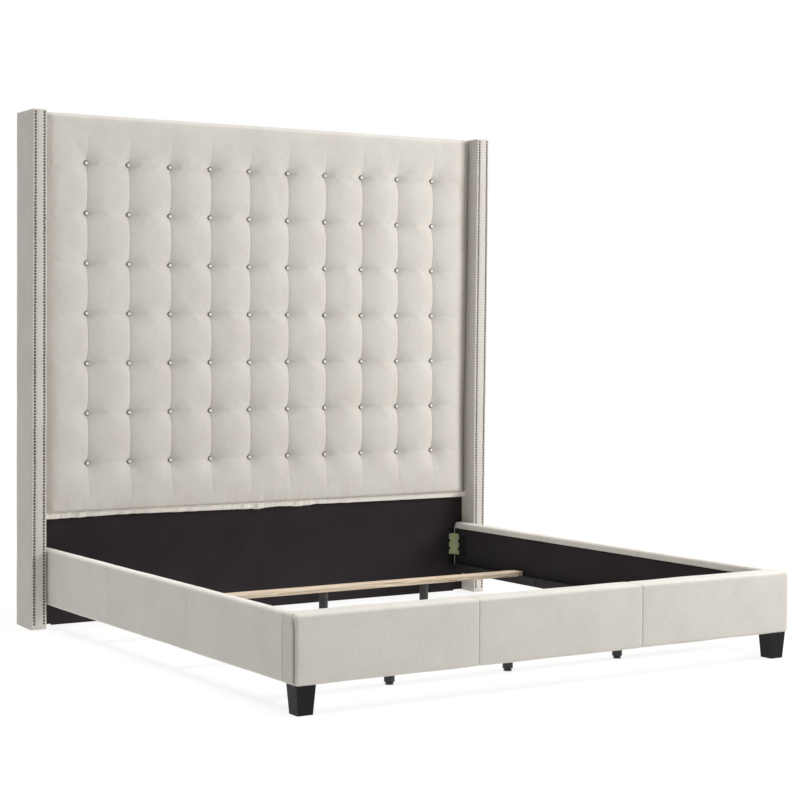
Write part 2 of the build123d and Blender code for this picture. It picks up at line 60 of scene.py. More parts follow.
# Studio light
room_colour = (0.97, 0.98, 1.0, 1.0)
room_light = 0.17
key_place = (5.3, -3.5, 3.0)
key_aim = (0.0, 0.6, 1.0)
key_size = (4.2, 2.8)
key_power = 372.0
key_colour = (1.0, 0.995, 0.985)
overhead_power = 3.0
overhead_spread = 40
floor_glow = 0.86

# Tufted pad: the places of its buttons, its depths and how it falls towards its border
pad_back_y = 1.0577
tuft_columns = 10
tuft_rows = 7
tuft_side_margin = 0.2005
tuft_top_drop = 0.204
tuft_bottom_rise = 0.201
crown = 0.06
channel_midspan = 0.05
channel_at_button = 0.034
channel_rise_power = 3.2
groove_powers = (2.3, 0.66)
fade_run = 0.17
fade_power = 1.6
dimple_size = (0.026, 0.030)
dimple_power = 1.15
dimple_share = 0.85
dimple_reach = 0.09
row_dip = 0.0018
row_dip_size = (0.070, 0.010)
row_dip_loss = 0.3
row_hollow = 0.0009
row_hollow_run = 0.045
edge_heights = (0.60, 0.85, 1.15, 2.10)
edge_depths = (0.022, 0.022, 0.033, 0.036)
bottom_depth = 0.034
top_depth = 0.006
side_gap = 0.0013
side_roll = (0.050, 0.080)
side_roll_wander = 0.12
side_wander = 0.0014
top_roll = 0.016
bottom_roll = 0.013
pad_unevenness = 0.0006
pad_top_overlap = 0.012
gather_depth = 0.0038
gather_length = 0.021
gather_rise = 0.028
gather_end_run = 0.05
pad_step = 0.009
button_lines = (-0.004, -0.0015, 0.0, 0.0015, 0.004)
row_lines = (-0.004, 0.0, 0.004)

# Painted shade in the pad's side edges: share, run. Painted shadow beside its right wing: share,
# place, run
side_edge_shade = (0.25, 0.0018)
side_shadow = (0.34, 0.024, 0.022)

# Settling of the pad's cover
settle_step = 0.017
settle_pressure = 4.0
settle_slack = 0.004
settle_frames = 20
settle_cap = 0.004
held_at_button = 0.016
held_at_channel = 0.002
held_past_rows = 0.03
held_border = 0.012

# Hem under the pad: how crowded its gathers are across the bed, and how far it hangs
hem_step = 0.0038
hem_rows = 11
hem_stand = 0.032
hem_base_share = 0.93
hem_pucker = 0.005
hem_fold = (0.0058, 0.90, 0.08)
hem_turn = 0.004
hem_slant = 0.004
hem_low_waver = 0.0013
hem_high_waver = 0.0014
hem_crowding = (
    (-1.06, -0.9, -0.5, -0.35, -0.1, 0.3, 0.45, 1.06),
    (1.0, 1.0, 0.7, 0.4, 1.1, 1.0, 0.25, 0.2),
)
hem_sag = (
    (-1.06, -0.95, -0.86, -0.72, -0.56, -0.30, -0.105,
     -0.047, 0.053, 0.155, 0.258, 0.45, 1.06),
    (0.001, 0.0015, 0.0, -0.004, -0.0015, 0.001, 0.003,
     0.0055, -0.002, 0.0035, -0.003, -0.001, 0.0),
)

# Covered buttons; the profile gives shares of the radius and of the rise
button_radius = 0.0108
button_rise = 0.0098
button_profile = (
    (0.80, 0.0), (0.97, 0.10), (1.0, 0.30), (0.98, 0.50), (0.86, 0.68), (0.66, 0.84), (0.40, 0.95),
)
button_pleats = 14
button_pleat_depth = 0.035
button_tilt = 0.05
button_sink = 0.0005

# Wings; lean_faces says how far the left and right face of each stand to the right, by height
wing_radius = 0.005
wing_crown = 0.0022
wing_puff = 0.0016
wing_seam_back = 0.013
wing_seam_depth = 0.0012
wing_seam_width = 0.0018
wing_unevenness = 0.0005
lean_heights = (0.0, 0.35, 0.70, 1.15, 1.60, 2.134)
lean_faces = {
    "left": (
        (-0.0085, -0.006, -0.004, -0.001, 0.002, 0.0045),
        (-0.004, -0.003, 0.0, 0.003, 0.005, 0.008),
    ),
    "right": (
        (-0.004, -0.005, -0.006, -0.003, 0.002, 0.0085),
        (-0.004, 0.0, 0.0045, 0.011, 0.016, 0.018),
    ),
}
front_flare = (-0.0095, -0.009, -0.0065, -0.0065, -0.0045, -0.0025)
wing_foot_drop = 0.0045
wing_foot_run = 0.05

# Nailheads
nail_pitch = 0.0127
nail_radius = 0.0051
nail_rise = 0.004
nail_insets = {"left": (0.013, 0.011), "right": (0.013, 0.0105)}
nail_low_z = 0.018
nail_top_drop = 0.006
nail_skirt = 0.0006
nail_scatter = (0.0003, 0.0002)
nail_tilt = 0.03

# Rails and footboard: their rounding, seams and wraps
rail_radius = 0.011
footboard_radius = 0.012
cover_step = 0.016
panel_swell = 0.0022
panel_inset = 0.001
panel_swell_run = 0.10
rail_unevenness = 0.0006
footboard_unevenness = 0.0007
seam_width = 0.0032
seam_depth = 0.0024
seam_pull_share = 0.45
lining_recess = 0.0035
wrap_drop = 0.028
wrap_lip = 0.0016
joint_radius_share = 0.3
end_edge_half = 0.0022
end_edge_stand = 0.0012
end_edge_radius = 0.0011

# Folded corners of the footboard, and the painted shade in their folds
corner_fold_back = 0.0155
corner_fold_half = 0.0042
corner_fold_depth = 0.016
corner_fold_shade = 0.72
corner_curl = 0.022
corner_curl_rise = 0.045
corner_lip = (0.0022, 0.009, 0.004)

# Black cloths, and the staples of the back one; a staple's path gives (along, out) in its plane
cloth_sink = 0.0006
cloth_waver = 0.0004
staple_pull_run = 0.035
staple_gap = 0.058
staple_inset = 0.012
staple_path = (
    (-0.0052, -0.0014), (-0.0052, 0.0002), (-0.0044, 0.0007),
    (0.0044, 0.0007), (0.0052, 0.0002), (0.0052, -0.0014),
)
staple_wire = ((0.0, 0.00045), (0.00055, 0.0), (0.0, -0.00045), (-0.00055, 0.0))
staple_sink = 0.001
staple_scatter = (0.002, 0.0008)
staple_turn = 0.14

rng = np.random.default_rng(11)


def put(name, data):
    """A new object in the scene, at the origin."""
    made = bpy.data.objects.new(name, data)
    bpy.context.scene.collection.objects.link(made)
    return made


def unit(value):
    """A share, kept between 0 and 1."""
    return np.clip(value, 0, 1)


def bell(distance, run):
    """Falls smoothly from 1 at no distance, to about a third at the run."""
    return np.exp(-(distance / run) ** 2)


def to_nearest(values, places):
    """How far each value is from the nearest of some places."""
    return np.abs(values[:, None] - places[None, :]).min(axis=1)


# Mesh helpers
def mesh_piece(name, verts, faces, material):
    """A smooth mesh object from arrays of points and faces."""
    mesh = bpy.data.meshes.new(name)
    mesh.from_pydata(np.asarray(verts, float).tolist(), [], [list(map(int, f)) for f in faces])
    mesh.validate()
    mesh.update()
    mesh.polygons.foreach_set("use_smooth", [True] * len(mesh.polygons))
    mesh.materials.append(material)
    return put(name, mesh)


def finish_piece(piece, replaced=()):
    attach(piece, body)
    if replaced:
        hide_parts(*replaced)


def padded_piece(name, verts, faces, material, replaced=()):
    """A piece of padding under linen."""
    piece = mesh_piece(name, verts, faces, material)
    finish_piece(piece, replaced)
    return piece


def set_values(piece, name, values):
    """Keeps one number per point on a piece, which its material reads by name."""
    kept = piece.data.attributes.new(name, "FLOAT", "POINT")
    kept.data.foreach_set("value", np.asarray(values, np.float32))


def grid_points(down, across):
    """The places of a grid's points as two flat arrays: along its rows, and down them."""
    gd, ga = np.meshgrid(down, across, indexing="ij")
    return ga.ravel(), gd.ravel()


def grid_faces(rows, cols, offset=0, flip=False):
    """Quads of a rows by cols grid of points."""
    c, r = grid_points(np.arange(rows - 1), np.arange(cols - 1))
    a = r * cols + c + offset
    quads = np.stack([a, a + 1, a + cols + 1, a + cols], axis=1)
    return quads[:, ::-1] if flip else quads


def grid_rim(rows, cols):
    """The points round a grid: along its first row, up, back along its last row and down."""
    return np.concatenate([
        np.arange(cols), np.arange(1, rows) * cols + cols - 1,
        (rows - 1) * cols + np.arange(cols - 2, -1, -1), np.arange(rows - 2, 0, -1) * cols,
    ])


def plain_back(rows, cols, rim):
    """Wide faces, one to each row, that close a grid's back between points round its rim."""
    left = [rim[0], *rim[:-rows:-1]]
    right = rim[cols - 1:cols + rows - 1]
    faces = [(left[n], left[n + 1], right[n + 1], right[n]) for n in range(1, rows - 2)]
    first = [left[1], right[1], *rim[cols - 1::-1]]
    last = [left[rows - 2], *rim[2 * cols + rows - 3:cols + rows - 3:-1], right[rows - 2]]
    return [first, *faces, last]


def graded(low, high, radius, step, rings=4, extra=()):
    """Coordinates along one axis: close together over the rounded ends, even between."""
    turn = np.tan(np.linspace(0, math.pi / 4, rings + 1))
    start = low + radius * (1 - turn[::-1])
    end = high - radius * (1 - turn)
    count = max(2, int(round((high - low - 2 * radius) / step)) + 1)
    middle = np.linspace(low + radius, high - radius, count)
    kept = [e for e in extra if low + radius < e < high - radius]
    if kept:
        clear = to_nearest(middle, np.array(kept)) > 0.0012
        clear[[0, -1]] = True
        middle = np.unique(np.concatenate([middle[clear], kept]).round(6))
    return np.concatenate([start[:-1], middle, end[1:]])


def rounded_shell(low, high, radius, step, rings=4, extra=((), (), ())):
    """A closed box with rounded edges: its points, outward directions and quads."""
    axes = [graded(low[k], high[k], radius, step, rings, extra[k]) for k in range(3)]
    counts = [len(a) for a in axes]
    keys, quads = [], []
    total = 0
    for axis in range(3):
        u, v = (axis + 1) % 3, (axis + 2) % 3
        for end in (0, 1):
            ijk = np.zeros((counts[u] * counts[v], 3), int)
            ijk[:, axis] = end * (counts[axis] - 1)
            ijk[:, v], ijk[:, u] = grid_points(np.arange(counts[u]), np.arange(counts[v]))
            keys.append(ijk)
            quads.append(grid_faces(counts[u], counts[v], total, flip=bool(end)))
            total += len(ijk)
    keys = np.concatenate(keys)
    flat = (keys[:, 0] * counts[1] + keys[:, 1]) * counts[2] + keys[:, 2]
    _, first, back = np.unique(flat, return_index=True, return_inverse=True)
    ijk = keys[first]
    points = np.stack([axes[k][ijk[:, k]] for k in range(3)], axis=1)
    core = np.clip(points, np.asarray(low) + radius, np.asarray(high) - radius)
    away = points - core
    away /= np.linalg.norm(away, axis=1)[:, None]
    return core + away * radius, away, back.ravel()[np.concatenate(quads)]


def ripple(points, scale, seed):
    """Smooth pseudo-random waves in space, between about -1 and 1."""
    waves = np.random.default_rng(seed)
    total = np.zeros(len(points))
    for _ in range(7):
        direction = waves.normal(size=3)
        direction /= np.linalg.norm(direction)
        length = scale * waves.uniform(0.6, 1.7)
        phase = waves.uniform(0, 2 * math.pi)
        total += np.sin(points @ direction * 2 * math.pi / length + phase)
    return total / 3.5


def across_only(x):
    """Points at some places across the bed, with nothing along the other axes."""
    return np.stack([x, np.zeros_like(x), np.zeros_like(x)], axis=1)


def turn_in(run):
    """Distances from an edge that lie closer together towards it."""
    return run * (1 - np.cos(np.linspace(0, math.pi / 2, 9)))


def turned(angle, axis):
    return Matrix.Rotation(angle, 4, axis)


def tilted(spread):
    """A small random tilt, drawn about X and then about Z."""
    return turned(rng.normal(0, spread), "X") @ turned(rng.normal(0, spread), "Z")


def lathe(profile, sides):
    """A solid of revolution about Z from (radius, height) pairs, closed at its two ends."""
    angles = np.arange(sides) * 2 * math.pi / sides
    verts = []
    for radius, height in profile[1:-1]:
        verts += [(radius * math.cos(a), radius * math.sin(a), height) for a in angles]
    rings = len(profile) - 2
    bottom, top = len(verts), len(verts) + 1
    verts += [(0, 0, profile[0][1]), (0, 0, profile[-1][1])]
    faces = []
    for ring in range(rings - 1):
        for n in range(sides):
            a, b = ring * sides + n, ring * sides + (n + 1) % sides
            faces.append((a, b, b + sides, a + sides))
    for n in range(sides):
        faces.append((bottom, (n + 1) % sides, n))
        last = (rings - 1) * sides
        faces.append((top, last + n, last + (n + 1) % sides))
    return np.array(verts), faces


def copies(verts, faces, frames):
    """Many copies of one small mesh, each put in place by a 4 by 4 matrix."""
    all_verts, all_faces = [], []
    for n, matrix in enumerate(frames):
        m = np.array(matrix)
        all_verts.append(verts @ m[:3, :3].T + m[:3, 3])
        all_faces += [tuple(i + n * len(verts) for i in f) for f in faces]
    return np.concatenate(all_verts), all_faces


# Materials
class Shader:
    """A material with short ways to add and join its nodes."""

    def __init__(self, name):
        self.material = bpy.data.materials.new(name)
        self.material.use_nodes = True
        self.tree = self.material.node_tree
        self.surface = self.tree.nodes["Principled BSDF"]

    def give(self, socket, value):
        if hasattr(value, "is_output"):
            self.tree.links.new(value, socket)
        else:
            socket.default_value = value

    def set(self, **values):
        """Gives the surface's inputs values, or the outputs of other nodes."""
        for name, value in values.items():
            self.give(self.surface.inputs[name.replace("_", " ")], value)

    def node(self, kind, inputs, **settings):
        made = self.tree.nodes.new(kind)
        for name, value in settings.items():
            setattr(made, name, value)
        for key, value in inputs.items():
            self.give(made.inputs[key], value)
        return made

    def math(self, operation, a, b=0.5):
        return self.node("ShaderNodeMath", {0: a, 1: b}, operation=operation).outputs[0]

    def times(self, a, b):
        return self.math("MULTIPLY", a, b)

    def mix(self, factor, a, b):
        made = self.node("ShaderNodeMix", {0: factor, 6: a, 7: b}, data_type="RGBA")
        return made.outputs[2]

    def ramp(self, value, stops):
        made = self.node("ShaderNodeValToRGB", {0: value})
        elements = made.color_ramp.elements
        elements[0].position, elements[0].color = stops[0]
        elements[1].position, elements[1].color = stops[-1]
        for position, colour in stops[1:-1]:
            elements.new(position).color = colour
        return made.outputs[0]

    def noise(self, vector, scale, detail=2.0, roughness=0.5):
        made = self.node(
            "ShaderNodeTexNoise",
            {"Vector": vector, "Scale": scale, "Detail": detail, "Roughness": roughness},
        )
        return made.outputs[0]

    def grain(self, vector, scale, detail=3.0, roughness=0.6):
        """Noise that is stretched along some axes."""
        inputs = {0: vector, 1: scale}
        drawn = self.node("ShaderNodeVectorMath", inputs, operation="MULTIPLY").outputs[0]
        return self.noise(drawn, 1.0, detail, roughness)

    def place(self):
        return self.node("ShaderNodeTexCoord", {}).outputs["Object"]

    def kept(self, name):
        """The values that set_values keeps on a piece."""
        return self.node("ShaderNodeAttribute", {}, attribute_name=name).outputs["Fac"]

    def flat_uv(self):
        """Two running coordinates over the surface, from place and facing, with no UV map."""
        coords = self.node("ShaderNodeTexCoord", {})
        place = self.node("ShaderNodeSeparateXYZ", {0: coords.outputs["Object"]})
        facing = self.node("ShaderNodeSeparateXYZ", {0: coords.outputs["Normal"]})
        up = self.math("GREATER_THAN", self.math("ABSOLUTE", facing.outputs[2]), 0.7)
        side = self.math("GREATER_THAN", self.math("ABSOLUTE", facing.outputs[0]), 0.7)
        across = self.node("ShaderNodeMix", {0: side, 2: place.outputs[0], 3: place.outputs[1]})
        along = self.node("ShaderNodeMix", {0: up, 2: place.outputs[2], 3: place.outputs[1]})
        return across.outputs[0], along.outputs[0]

    def bump(self, height, strength, distance, under=None):
        inputs = {"Height": height, "Strength": strength, "Distance": distance}
        if under is not None:
            inputs["Normal"] = under
        return self.node("ShaderNodeBump", inputs).outputs[0]


def rgb(r, g, b):
    """A colour given as it looks on a screen, from 0 to 255, in the renderer's linear values."""
    def linear(c):
        c /= 255
        return c / 12.92 if c <= 0.04045 else ((c + 0.055) / 1.055) ** 2.4
    return (linear(r), linear(g), linear(b), 1.0)


black, white = (0, 0, 0, 1), (1, 1, 1, 1)


def darker(colour, share):
    return tuple(share * c for c in colour[:3]) + (1.0,)


def woven_cloth(name, light, dark, thread, slub=1.0, sheen=0.1, rim=False):
    """Plain woven cloth: crossing threads, thicker slubs along them and a soft cloudiness.

    It is darker, with painted shade, where a piece's "fold" values rise, or with rim,
    with painted shade low on a button where the "rim" values rise."""
    s = Shader(name)
    across, along = s.flat_uv()
    turn = 2 * math.pi / thread
    warp = s.math("SINE", s.times(across, turn))
    weft = s.math("SINE", s.times(along, turn))
    crossing = s.times(warp, weft)
    surface = s.node("ShaderNodeCombineXYZ", {0: across, 1: along}).outputs[0]
    flat_slub = s.grain(surface, (30, 520, 1))
    upright_slub = s.grain(surface, (520, 24, 1))
    slubs = s.math("ADD", s.times(flat_slub, 0.5), s.times(upright_slub, 0.5))
    cloud = s.noise(s.place(), 7.0)
    tone = s.math("ADD", s.times(slubs, 0.75), s.times(cloud, 0.25))
    threads = s.math("ADD", tone, s.times(crossing, 0.015))
    colour = s.ramp(threads, [(0.36, dark), (0.62, light)])
    if rim:
        # Painted shade low on a button, where it sinks into the pad
        rim_shade = s.ramp(s.kept("rim"), [(0.07, black), (0.24, white)])
        colour = s.mix(rim_shade, colour, darker(dark, 0.30))
    else:
        # Painted shade where the "fold" values rise
        shade_colour = (0.30 * dark[0], 0.27 * dark[1], 0.23 * dark[2], 1.0)
        colour = s.mix(s.kept("fold"), colour, shade_colour)
    bump = s.bump(slubs, 0.35 * slub, 0.0006)
    bump = s.bump(crossing, 0.25, thread * 0.12, bump)
    s.set(
        Base_Color=colour, Normal=bump, Roughness=0.92, Specular_IOR_Level=0.25,
        Sheen_Weight=sheen, Sheen_Roughness=0.45,
    )
    return s.material


def sawn_wood(name, light, dark, along, knots=True, streaks=0.0):
    """Wood with its grain along one axis: rings and fine pores, and maybe knots and streaks."""
    s = Shader(name)
    place = s.place()
    fine, broad, thin = [140.0] * 3, [26.0] * 3, [85.0] * 3
    fine[along], broad[along], thin[along] = 5.0, 1.3, 2.6
    rings = s.grain(place, broad, 4.0, 0.55)
    bands = s.math("FRACT", s.times(rings, 7.0))
    pores = s.grain(place, fine)
    tone = s.math("ADD", s.times(bands, 0.45), s.times(pores, 0.55))
    colour = s.ramp(tone, [(0.2, dark), (0.75, light)])
    if knots:
        drawn = s.node("ShaderNodeVectorMath", {0: place, 1: broad}, operation="MULTIPLY")
        cells = {"Vector": drawn.outputs[0], "Scale": 0.35}
        speckle = s.node("ShaderNodeTexVoronoi", cells)
        knot = s.ramp(speckle.outputs["Distance"], [(0.02, white), (0.10, black)])
        colour = s.mix(knot, colour, darker(dark, 0.55))
    if streaks:
        stain = s.ramp(s.grain(place, thin, 3.0, 0.65), [(0.56, black), (0.66, white)])
        colour = s.mix(s.times(stain, streaks), colour, darker(dark, 0.42))
    bump = s.bump(pores, 0.25, 0.0005)
    s.set(Base_Color=colour, Normal=bump, Roughness=0.62, Specular_IOR_Level=0.3)
    return s.material


def stained_leg(name):
    """Black stained hardwood with a satin finish and rubbed, slightly paler corners."""
    s = Shader(name)
    place = s.place()
    pores = s.grain(place, (90, 90, 7), 4.0)
    wear = s.node("ShaderNodeNewGeometry", {}).outputs["Pointiness"]
    colour = s.ramp(pores, [(0.3, rgb(15, 14, 15)), (0.7, rgb(30, 28, 29))])
    edge = s.ramp(wear, [(0.52, black), (0.62, white)])
    s.set(
        Base_Color=s.mix(s.times(edge, 0.25), colour, rgb(70, 66, 63)),
        Normal=s.bump(pores, 0.12, 0.0004),
        Roughness=0.42, Specular_IOR_Level=0.14, Coat_Weight=0.03, Coat_Roughness=0.3,
    )
    return s.material


def moulded_plastic(name, light, dark, roughness):
    """Plastic with a fine spark-eroded grain and a little cloudiness."""
    s = Shader(name)
    place = s.place()
    grain = s.noise(place, 900.0)
    cloud = s.noise(place, 30.0)
    s.set(
        Base_Color=s.ramp(cloud, [(0.35, dark), (0.65, light)]),
        Normal=s.bump(grain, 0.15, 0.0002),
        Roughness=roughness, Specular_IOR_Level=0.45,
    )
    return s.material


def plated_steel(name, stops, roughness, metallic):
    """Plated steel whose colour drifts through several tints, with fine scuffs."""
    s = Shader(name)
    place = s.place()
    drift = s.noise(place, 60.0, 3.0, 0.6)
    scuffs = s.grain(place, (900, 60, 60), 3.0, 0.5)
    s.set(
        Base_Color=s.ramp(drift, stops),
        Roughness=s.math("ADD", s.times(scuffs, 0.25), roughness - 0.12),
        Normal=s.bump(scuffs, 0.08, 0.0003),
        Metallic=metallic,
    )
    return s.material


def nail_metal(name):
    """Antique nickel: bright on the domes, with dark patina low on the rims, which also paints the
    shade in the crevices between nails.
    """
    s = Shader(name)
    low = s.kept("rim")
    mottle = s.noise(s.place(), 420.0)
    bright = s.ramp(mottle, [(0.3, rgb(112, 106, 98)), (0.7, rgb(142, 136, 126))])
    patina_and_shade = s.ramp(low, [(0.12, black), (0.50, white)])
    s.set(
        Base_Color=s.mix(patina_and_shade, bright, rgb(26, 23, 20)),
        Roughness=s.math("ADD", s.times(mottle, 0.10), 0.24),
        Metallic=1.0,
    )
    return s.material


# Each finish: its name, its lighter and its darker colour, then what sets it apart
linen = woven_cloth("linen", rgb(212, 208, 201), rgb(197, 191, 183), 0.0013)
# A lighter copy of the linen: its extra lightness is painted light from the floor on the rails
rail_lit_linen = woven_cloth("rail_lit_linen", rgb(223, 219, 212), rgb(207, 201, 193), 0.0013)
# A lighter copy of the linen: its extra lightness is painted light from above on the hem
hem_lit_linen = woven_cloth("hem_lit_linen", rgb(238, 234, 227), rgb(224, 218, 209), 0.0013)
# A lighter copy of the linen: its extra lightness is painted light on the button domes, and its
# rim values add painted shade low on each button
button_linen = woven_cloth(
    "button_linen", rgb(236, 233, 227), rgb(222, 217, 210), 0.0011, slub=0.6, rim=True,
)
black_cloth = woven_cloth(
    "black_cloth", rgb(44, 38, 41), rgb(33, 28, 31), 0.0012, slub=0.5, sheen=0.03,
)
dust_cloth = woven_cloth(
    "dust_cloth", rgb(48, 46, 48), rgb(36, 34, 36), 0.0022, slub=0.8, sheen=0.03,
)
timber_colours = (rgb(214, 186, 146), rgb(172, 138, 98))
pine = sawn_wood("pine", rgb(222, 208, 188), rgb(172, 147, 119), along=0, streaks=0.75)
timber_up = sawn_wood("timber_up", *timber_colours, along=2)
timber_across = sawn_wood("timber_across", *timber_colours, along=0)
timber_long = sawn_wood("timber_long", *timber_colours, along=1)
plywood = sawn_wood("plywood", rgb(206, 172, 126), rgb(178, 142, 100), along=0, knots=False)
black_ledger = sawn_wood("black_ledger", rgb(44, 41, 42), rgb(30, 28, 29), along=1, knots=False)
leg_finish = stained_leg("leg_finish")
leg_plastic = moulded_plastic("leg_plastic", rgb(50, 49, 50), rgb(38, 37, 38), 0.42)
glide_plastic = moulded_plastic("glide_plastic", rgb(112, 110, 108), rgb(86, 84, 82), 0.5)
zinc_tints = [
    (0.32, rgb(150, 154, 108)), (0.44, rgb(212, 212, 156)),
    (0.56, rgb(176, 190, 174)), (0.70, rgb(218, 200, 178)),
]
dark_tints = [(0.3, rgb(34, 33, 32)), (0.7, rgb(70, 68, 64))]
wire_tints = [(0.3, rgb(150, 149, 146)), (0.7, rgb(186, 184, 180))]
zinc = plated_steel("zinc", zinc_tints, 0.42, metallic=0.45)
dark_steel = plated_steel("dark_steel", dark_tints, 0.42, metallic=0.7)
staple_steel = plated_steel("staple_steel", wire_tints, 0.38, metallic=0.85)
nail_finish = nail_metal("nail_finish")


def carry_materials():
    """Gives every carried-over node its finish. A name here stands for the nodes that start so."""
    finishes = {
        timber_up: "headboard_post headboard_stiles wing_core",
        timber_across: "headboard_top_rail headboard_bottom_rail headboard_cross_rails"
        " footboard_core",
        timber_long: "rail_core",
        plywood: "headboard_front_board",
        black_cloth: "headboard_side_strips",
        black_ledger: "slat_ledger",
        leg_finish: "front_leg",
        pine: "slat_head slat_middle slat_foot",
        leg_plastic: "support_legs",
        glide_plastic: "wing_glides support_glide",
        zinc: "corner_brackets",
        dark_steel: "wing_bolts ledger_bolts leg_bolts bracket_bolts slat_screws"
        " headboard_plates rail_plates footboard_plates support_leg_studs",
    }
    for material, starts in finishes.items():
        for name, node in nodes.items():
            if name.startswith(tuple(starts.split())):
                node.data.materials.clear()
                node.data.materials.append(material)


def wing_insides(z):
    """How far the inner faces of the left and the right wing stand to the right, by height."""
    return [np.interp(z, lean_heights, lean_faces[w][n]) for w, n in (("left", 1), ("right", 0))]


def between_wings(x, z, low, high):
    """How far a piece that fills the space between the wings is drawn to the right with them."""
    across = unit((x - low.x) / (high.x - low.x))
    at_left, at_right = wing_insides(z)
    return at_left + (at_right - at_left) * across


# Tufted pad
def settle(x_line, z_line, held):
    """Lets a cover, held at some points, swell over its filling, by simulation on a light copy.

    Gives how far each point of its grid moves."""
    scene = bpy.context.scene
    first = scene.frame_current
    x, z = grid_points(z_line, x_line)
    rest = np.stack([x, pad_back_y - pad_depth(x, z), z], axis=1)
    copy = mesh_piece("settling", rest, grid_faces(len(z_line), len(x_line)), linen)
    group = copy.vertex_groups.new(name="held")
    group.add(np.flatnonzero(held(x, z)).tolist(), 1.0, "REPLACE")
    cloth = copy.modifiers.new("settle", "CLOTH")
    how = cloth.settings
    how.quality = 4
    how.mass = 0.3
    how.tension_stiffness = how.compression_stiffness = 12
    how.bending_stiffness = 0.5
    how.use_pressure = True
    how.uniform_pressure_force = settle_pressure
    how.shrink_min = -settle_slack
    how.vertex_group_mass = "held"
    how.effector_weights.gravity = 0
    cloth.point_cache.frame_start = 1
    cloth.point_cache.frame_end = settle_frames
    for frame_number in range(1, settle_frames + 1):
        scene.frame_set(frame_number)
    settled = np.empty(rest.size)
    shape = copy.evaluated_get(bpy.context.evaluated_depsgraph_get())
    shape.data.vertices.foreach_get("co", settled)
    bpy.data.objects.remove(copy)
    scene.frame_set(first)
    move = settled.reshape(-1, 3) - rest
    length = np.linalg.norm(move, axis=1)
    move *= (settle_cap * np.tanh(length / settle_cap) / np.maximum(length, 1e-9))[:, None]
    return move.reshape(len(z_line), len(x_line), 3)


def resample(grid, z_line, x_line, fine_z, fine_x):
    """Reads a grid of moves at the points of a finer grid."""
    down = np.apply_along_axis(lambda line: np.interp(fine_z, z_line, line), 0, grid)
    return np.apply_along_axis(lambda line: np.interp(fine_x, x_line, line), 1, down)


def held_places(x, z):
    """Where buttons, channels and the pad's border hold its cover down."""
    low, high, columns, rows = tuft_places()
    to_column, to_row = to_nearest(x, columns), to_nearest(z, rows)
    within = (z > rows[0] - held_past_rows) & (z < rows[-1] + held_past_rows)
    held = np.hypot(to_column, to_row) < held_at_button
    held |= (to_column < held_at_channel) & within
    to_border = np.min([high.x - np.abs(x), high.z - z, z - low.z], axis=0)
    return held | (to_border < held_border)


def settle_lines(low, high, places):
    """Even coordinates that fall on every one of some evenly spaced places."""
    first, second, last = places[0], places[1], places[-1]
    gap = (second - first) / round((second - first) / settle_step)
    before = np.arange(first - gap, low + 0.4 * gap, -gap)[::-1]
    after = np.arange(last + gap, high - 0.4 * gap, gap)
    middle = np.linspace(first, last, int(round((last - first) / gap)) + 1)
    return np.concatenate([[low], before, middle, after, [high]])


def tuft_places():
    """The pad's box, and where the columns and rows of its buttons are."""
    low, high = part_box("headboard_pad")
    half = (high.x - low.x) / 2 - tuft_side_margin
    columns = np.linspace(-half, half, tuft_columns)
    rows = np.linspace(low.z + tuft_bottom_rise, high.z - tuft_top_drop, tuft_rows)
    return low, high, columns, rows


def fabric_roll(distance, run):
    """Rises from 0 at an edge to 1 over the run, steep at first as a roll of padding is."""
    t = unit(distance / run)
    return np.sqrt(1 - (1 - t) ** 2)


def pad_depth(x, z):
    """How far the pad's face stands out from its back, over the headboard."""
    low, high, columns, rows = tuft_places()
    to_column, to_row = to_nearest(x, columns), to_nearest(z, rows)
    half_x, half_z = (columns[1] - columns[0]) / 2, (rows[1] - rows[0]) / 2
    beyond = np.maximum(rows[0] - z, z - rows[-1])
    fade = unit(1 - beyond / fade_run)
    fade = np.where(beyond > 0, fade ** fade_power, 1.0)
    swell = unit(to_row / half_z)
    rise = 1 - (1 - swell) ** channel_rise_power
    channel = channel_at_button + (channel_midspan - channel_at_button) * rise
    outer_fall = unit((np.abs(x) - columns[-1]) / half_x)
    nearness = 1 - unit(to_column / half_x)
    groove = (1 - (1 - nearness ** groove_powers[0]) ** groove_powers[1]) * fade
    depth = crown - (crown - channel) * groove
    pull = np.hypot(to_column / dimple_size[0], to_row / dimple_size[1])
    dimple = np.exp(-pull ** dimple_power)
    depth -= (depth - channel_at_button) * dimple_share * dimple * (beyond < dimple_reach)
    line = bell(to_row, row_dip_size[1]) * np.exp(-to_column / row_dip_size[0])
    depth -= row_dip * line * (1 - row_dip_loss * outer_fall)
    depth -= row_hollow * bell(to_row, row_hollow_run)
    along_side = np.stack([np.sign(x), np.zeros_like(x), z], axis=1)
    roll = np.where(x < 0, *side_roll) * (1 + side_roll_wander * ripple(along_side, 0.34, 7))
    edge = np.interp(z, edge_heights, edge_depths)
    side = 1 - (1 - unit((high.x - np.abs(x)) / roll)) ** 2
    top = fabric_roll(high.z - z, top_roll)
    bottom = fabric_roll(z - low.z, bottom_roll)
    depth = edge + (depth - edge) * side
    depth = bottom_depth + (depth - bottom_depth) * bottom
    return top_depth + (depth - top_depth) * top


